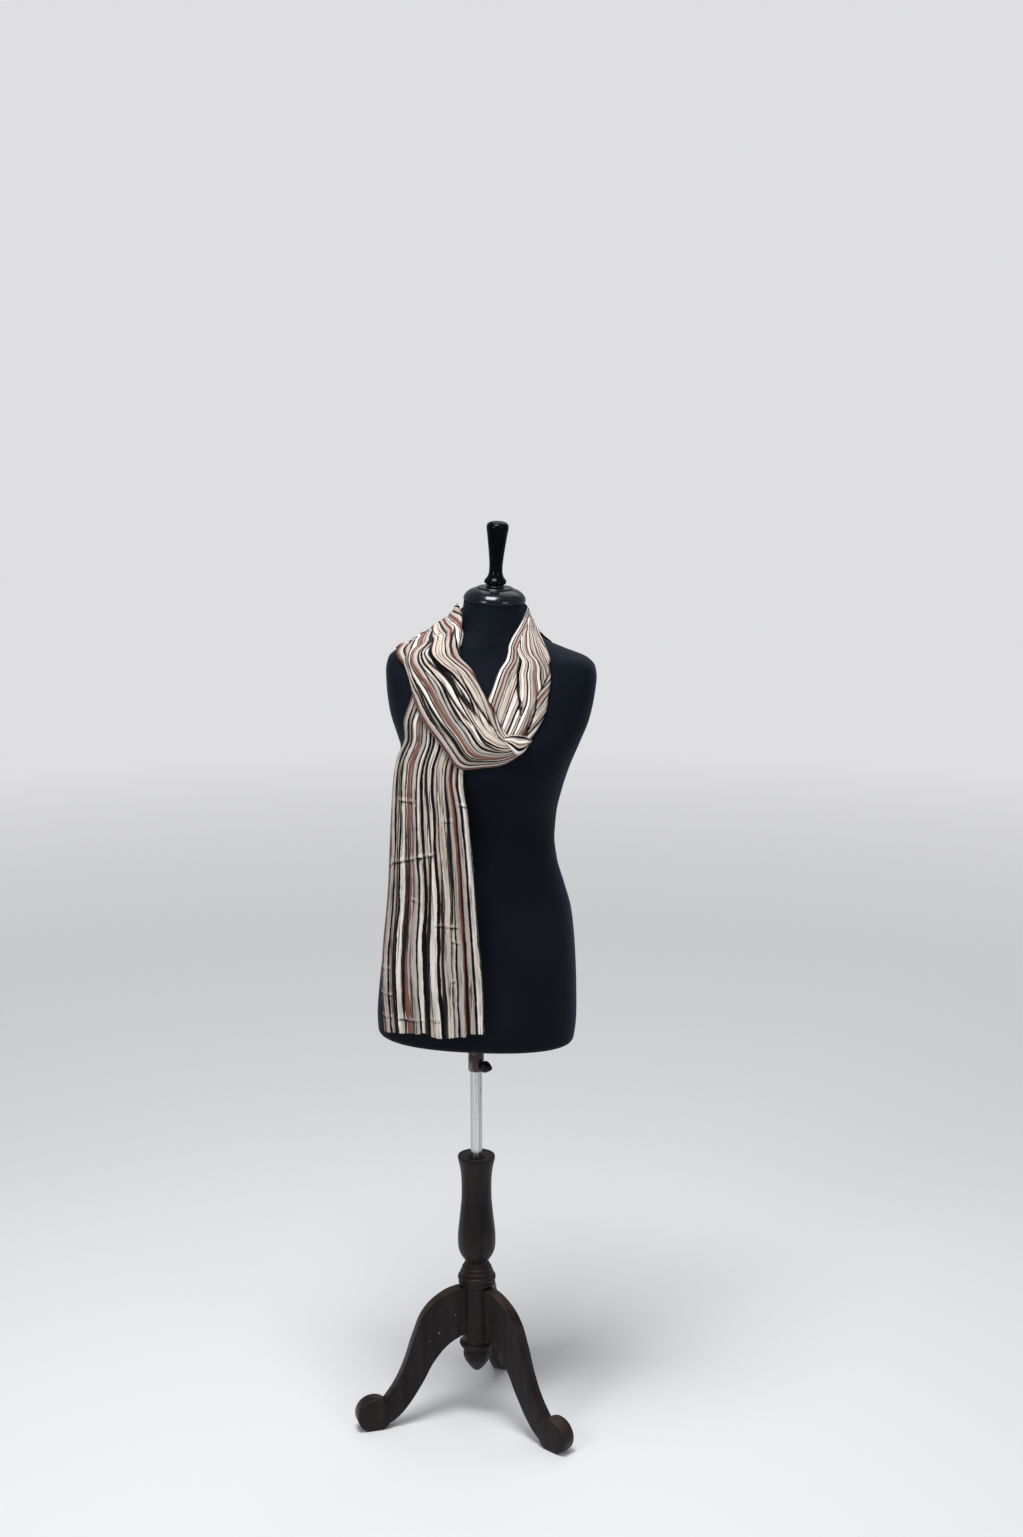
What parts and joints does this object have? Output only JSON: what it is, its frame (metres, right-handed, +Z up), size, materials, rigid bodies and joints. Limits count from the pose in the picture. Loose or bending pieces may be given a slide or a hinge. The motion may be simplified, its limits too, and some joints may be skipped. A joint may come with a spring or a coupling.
{
  "type": "chiffon stole on limbless dress form and stand",
  "caption": "Sheer striped stole looped round the neck of a limbless dress form, which turns and slides on the pole of a turned wooden tripod stand.",
  "frame": {"origin": "centre of the whole model's box, on the floor under the feet", "axes": "+Z up, the front of the form faces -Y, +X to the right as seen from the front"},
  "size_m": [0.4412, 0.4, 1.6898],
  "materials": {
    "stand_wood": "dark brown-black stain, satin, with worn reddish edges",
    "bright_steel": "bright polished tube",
    "bronzed_metal": "dark mottled bronze",
    "black_plastic": "gloss black",
    "black_jersey": "near-black navy jersey, soft sheen",
    "black_lacquer": "gloss black lacquer",
    "striped_chiffon": "sheer chiffon with lengthwise stripes of cream, grey, black and terracotta"
  },
  "bodies": {
    "stand": {"column": "stand_wood", "hub_post": "stand_wood", "drop_finial": "stand_wood", "leg_left": "stand_wood", "leg_right": "stand_wood", "leg_back": "stand_wood"},
    "pole": {"pole": "bright_steel"},
    "form": {"dress_form": "black_jersey", "collar": "bronzed_metal", "neck_cap": "black_lacquer", "neck_finial": "black_lacquer", "stole_front_tail": "striped_chiffon", "stole_neck_wrap": "striped_chiffon", "stole_right_drop": "striped_chiffon", "stole_front_band": "striped_chiffon", "stole_back_tail": "striped_chiffon"},
    "knob": {"clamp_knob": "black_plastic"}
  },
  "joints": [
    {"name": "form_turn", "type": "hinge", "parent": "stand", "child": "pole", "pos_m": [0.0065, -0.0296, 0.5], "axis": [0, 0, 1], "continuous": true},
    {"name": "form_height", "type": "slide", "parent": "pole", "child": "form", "axis": [0, 0, 1], "range_m": [-0.16, 0.25]},
    {"name": "knob_turn", "type": "hinge", "parent": "form", "child": "knob", "pos_m": [0.0065, -0.0296, 0.696], "axis": [0.766, -0.6428, 0], "range_deg": [0, 540]}
  ]
}
